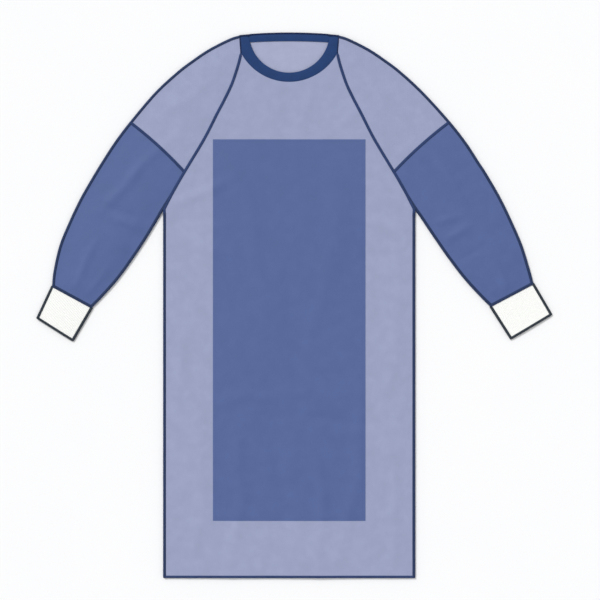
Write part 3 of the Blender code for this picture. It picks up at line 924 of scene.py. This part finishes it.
def core(path, half_width, half_height):
    """The seam allowance under the thread: an oval bead along the path, rounded off at both ends."""
    end = lengths(path)[-1]
    rounded = CORE_END * np.array(END_PLACES)
    middle = np.linspace(CORE_END, end - CORE_END, int(end / CORE_STEP) + 2)[1:-1]
    places = np.concatenate([rounded, middle, end - rounded[::-1]])
    path, (half_width, half_height) = at_lengths(path, places, half_width, half_height)
    across, up = level_frame(path)
    full = np.concatenate([END_WIDTHS, np.ones(len(places) - 6), END_WIDTHS[::-1]])
    angles = np.arange(CORE_SIDES) * 2 * math.pi / CORE_SIDES
    return round_path(path, across, up, half_width * full, half_height * full, angles[None, :])


def helix(path, half_width, half_height, seam):
    """The thread: a closed round cord that winds about the path, just outside the core."""
    end = lengths(path)[-1]
    passed = np.linspace(CORE_END / 2, end - CORE_END / 2, int(end / seam.pitch * HELIX_STEPS) + 1)
    centre, (half_width, half_height) = at_lengths(path, passed, half_width, half_height)
    across, up = level_frame(centre)
    turn = 2 * math.pi * passed / seam.pitch
    half_width, half_height = half_width + seam.thread / 2, half_height + seam.thread / 2
    cord = round_path(centre, across, up, half_width, half_height, turn[:, None])[:, 0]
    along = np.gradient(cord, axis=0)
    sideways = unit(np.cross(along, cord - centre))
    outward = unit(np.cross(sideways, along))
    radius = np.full(len(cord), seam.thread)
    radius[[0, -1]] = 0
    angles = (np.arange(HELIX_SIDES) + 0.5) * 2 * math.pi / HELIX_SIDES
    return round_path(cord, sideways, outward, radius, radius, angles[None, :])


def sewn(name, paths, material):
    """The cores of some seams as one piece, and their threads as another.

    Each path comes with its seam, and with its own half widths and half heights where these change along it.
    """
    cores, threads = [], []
    for path, seam, *widths in paths:
        widths = widths or [np.full(len(path), width) for width in seam[:2]]
        cores.append(core(path, *widths))
        if seam.thread:
            threads.append(helix(path, *widths, seam))
    for kind, grids in (("core", cores), ("thread", threads)):
        if grids:
            piece = grid_mesh(f"{name}_{kind}", grids, [material], round_across=True)
            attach(piece, "root")


def pressed_height(seam):
    """The height of the middle of a seam that lies on the table."""
    return seam.half_height + 1.5 * seam.thread


EDGE_INSET = 0.0030
EDGE_HEIGHT = pressed_height(EDGE_SEAM)
SEAM_LIFT = 0.0002
SLEEVE_END_LIFT = 0.0003
UNDERARM_START = ARMPIT - 0.9
UNDERARM_SUNK = 0.0006
NECK_TAPER = 0.007
HEM_SUNK = 0.0001
HEM_INSET, HEM_CORNER, HEM_REACH = 0.0022, 0.0012, 0.003
BACK_HEM_INSET, BACK_HEM_CORNER = 0.0009, 0.001
HEM_STEPS = 160


def edge_bead(edge, inward, roll, surface):
    """A seam along a line: flat on the cloth where roll is 0, and round the rolled edge where it is 1."""
    plan = edge + (EDGE_INSET * roll)[:, None] * inward
    path = np.column_stack([plan, surface * (1 - roll) + EDGE_HEIGHT * roll])
    widths = (flat + (rolled - flat) * roll for flat, rolled in zip(SURFACE_SEAM[:2], EDGE_SEAM[:2]))
    return path, EDGE_SEAM, *widths


def front_surface(x, y):
    """The height at which a seam lies on the front layer."""
    return LAY_HEIGHT + crown(x) + slack(x, y) + SEAM_LIFT


def body_seams(side):
    """The raglan seam, which turns over the front's rolled edge at the armpit, and then the side seam."""
    edge_x, edge_y, roll = body_edge(FRONT_NECK, 120, 220)
    x = side * edge_x
    inward = np.array([-side, 0])
    path, seam, *widths = edge_bead(np.stack([x, edge_y], axis=1), inward, roll, front_surface(x, edge_y))
    grown = smooth(lengths(path) / NECK_TAPER)
    widths = [thin + (width - thin) * grown for thin, width in zip(NECK_SIDE_SEAM[:2], widths)]
    rolled = int(np.argmax(roll >= 1))
    path[-1, 1] -= HEM_CORNER
    return (path[:rolled + 2], seam, *(width[:rolled + 2] for width in widths)), (path[rolled - 2:], seam)


def sleeve_side_seam(side, first_place, edge):
    """Along the overarm, edge 1, or the underarm, edge 0, which comes out of the raglan seam."""
    places = np.linspace(first_place, SLEEVE_END, 160)
    both = sleeve_edges((FRONT_NECK, *SECTIONS), side, places)
    inward = unit(both[1 - edge] - both[edge])
    roll = np.ones(len(places)) if edge else roll_at(places)
    return edge_bead(both[edge], inward, roll, front_surface(*both[edge].T) - UNDERARM_SUNK)


def across_sleeve(side, place, front, lift):
    """Across a sleeve on its outer face, at one place along it and inside its rolled edges."""
    rows = sleeve_points(side, np.array([place - 0.02, place]), UPPER_COLUMNS, front)
    return rows[-1, 3:-3] + (0, 0, lift)


thread = thread_material("navy_thread", THREAD_PAINT)
seam_thread = thread_material("blue_thread", SEAM_THREAD_PAINT)
topstitches = grid_mesh("neck_topstitches", stitches(stitch_line[6:-6]), [thread], round_across=True)
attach(topstitches, "root")

hem_x = np.linspace(-1, 1, HEM_STEPS) * (SIDE_X - HEM_REACH)
hem_y = np.full(HEM_STEPS, HEM_Y + HEM_INSET)
hem_free = settled((hem_x + SIDE_X)[None, :], [2 * SIDE_X], [1.0], [1.0])[0]
hem_height = LAY_HEIGHT + hem_free * (crown(hem_x) + slack(hem_x, hem_y)) - HEM_SUNK
hem_front = np.stack([hem_x, hem_y, hem_height], axis=1)
back_hem_x = np.linspace(-1, 1, HEM_STEPS) * (SIDE_X - BACK_HEM_CORNER)
back_hem_y = np.full(HEM_STEPS, HEM_Y + BACK_HEM_INSET)
wrapped = wrapped_share(np.abs(back_hem_x)) * OVERLAP_RISE / 2
hem_back = np.stack([back_hem_x, back_hem_y, pressed_height(BACK_HEM_SEAM) + wrapped], axis=1)
back_hem_widths = np.full(HEM_STEPS, BACK_HEM_SEAM.half_width), BACK_HEM_SEAM.half_height + wrapped
sewn("hem_seam", [(hem_front, HEM_SEAM), (hem_back, BACK_HEM_SEAM, *back_hem_widths)], seam_thread)

for side_name, side in SIDES.items():
    raglan, side_seam = body_seams(side)
    colour_seam = across_sleeve(side, COLOUR_SEAM, True, SEAM_LIFT)
    sleeve_end = across_sleeve(side, SLEEVE_END, True, SLEEVE_END_LIFT)
    overarm, underarm = sleeve_side_seam(side, 0.0, 1), sleeve_side_seam(side, UNDERARM_START, 0)
    sewn(f"seams_{side_name}", [raglan, (colour_seam, SURFACE_SEAM)], seam_thread)
    sewn(f"edges_{side_name}", [side_seam, overarm, underarm, (sleeve_end, SURFACE_SEAM)], thread)


UNDER_INSET = 0.002


def under_seams():
    """The same seams on the underside, pressed flat by the table, and the wrapped edges of the back."""
    paths = []
    for side in SIDES.values():
        edge_x, edge_y, roll = body_edge(BACK_NECK, 100, 20)
        raglan = np.stack([side * (edge_x - EDGE_INSET * roll), edge_y, 0 * edge_x], axis=1)[roll < 0.95]
        neck_corner = (side * BACK_NECK.overarm_x, BACK_BAND_TOP_Y - UNDER_INSET, 0)
        paths.append(np.concatenate([[neck_corner], raglan]))
        for place in (COLOUR_SEAM, SLEEVE_END):
            paths.append(across_sleeve(side, place, False, 0) * (1, 1, 0))
        wrapped_y = np.linspace(BACK_BAND_BOTTOM_Y + UNDER_INSET / 2, HEM_Y + UNDER_INSET, 120)
        wrapped_x = 0 * wrapped_y - side * (OVERLAP_X - UNDER_INSET)
        paths.append(np.stack([wrapped_x, wrapped_y, 0 * wrapped_y], axis=1))
    paths.append(np.stack([hem_x, hem_y, 0 * hem_x], axis=1))
    return [(path + (0, 0, pressed_height(UNDER_SEAM)), UNDER_SEAM) for path in paths]


sewn("under_seams", under_seams(), thread)

NECK_EDGE_REACH = 0.0018
NECK_EDGE_HEIGHT = 0.0024
NECK_EDGE_INSET = 0.0006
HORN_LIFT, HORN_INSET, HORN_WIDTH = 0.0013, 0.0008, 0.008
NECK_SIDE_SUNK = 0.0005


def neck_edges():
    """Along the top of the back band, over both ends of the front band, and down the front band's sides."""
    x = np.linspace(-1, 1, 120) * (BACK_NECK.overarm_x + NECK_EDGE_REACH)
    over_horn = smooth((np.abs(x) - HORN[0] + HORN_WIDTH) / HORN_WIDTH)
    y = BACK_BAND_TOP_Y + BAND_ARCH[1] * (1 - (x / BACK_NECK.overarm_x) ** 2)
    y = y - NECK_EDGE_INSET - HORN_INSET * over_horn
    edges = [(np.stack([x, y, NECK_EDGE_HEIGHT + HORN_LIFT * over_horn], axis=1), NECK_SEAM)]
    for side in SIDES.values():
        (raglan, *_), _ = body_seams(side)
        upright = outer_line[(outer_line[:, 1] > FRONT_NECK.seam_y) & (outer_line[:, 0] * side > 0), :2]
        upright = upright[np.argsort(-upright[:, 1])]
        upright = np.column_stack([upright, band_height(*upright.T) - NECK_SIDE_SUNK])
        edges.append((np.concatenate([upright, raglan[1:4]]), NECK_SIDE_SEAM))
    return edges


sewn("neck_edge", neck_edges(), thread_material("dark_thread", EDGE_THREAD_PAINT))

CUFF_END_SUNK = 0.0006


def cuff_edges(side):
    """Down both sides of a cuff and a little past its end, and across its end above and below."""
    rings = cuff_points(side)[0]
    across = np.argmax(rings[0, :, 0] * side), np.argmin(rings[0, :, 0] * side)
    lines = []
    for column, other in (across, across[::-1]):
        inward = unit((rings[:, other] - rings[:, column]) * (1, 1, 0))
        line = rings[:, column] + CUFF_INSET * inward
        line = np.append(line, line[-1:] + 0.5 * (line[-1:] - line[-2:-1]), axis=0)
        line[:, 2] = pressed_height(CUFF_SEAM)
        lines.append(line)
    start, finish = lines[0][-2], lines[1][-2]
    toward_sleeve = unit(lines[0][0] - lines[0][-1])
    share = np.linspace(0, 1, 30)[:, None]
    end_line = start + share * (finish - start) + CUFF_END_INSET * toward_sleeve
    high = CUFF_HEIGHT - CUFF_END_SUNK + CUFF_CROWN * np.sin(math.pi * share)
    low = pressed_height(CUFF_END_SEAM) + 0 * share
    ends = [np.concatenate([end_line[:, :2], height], axis=1) for height in (high, low)]
    return [(line, CUFF_SEAM) for line in lines] + [(line, CUFF_END_SEAM) for line in ends]


charcoal = thread_material("charcoal_thread", CHARCOAL_PAINT)
for side_name, side in SIDES.items():
    sewn(f"cuff_edging_{side_name}", cuff_edges(side), charcoal)
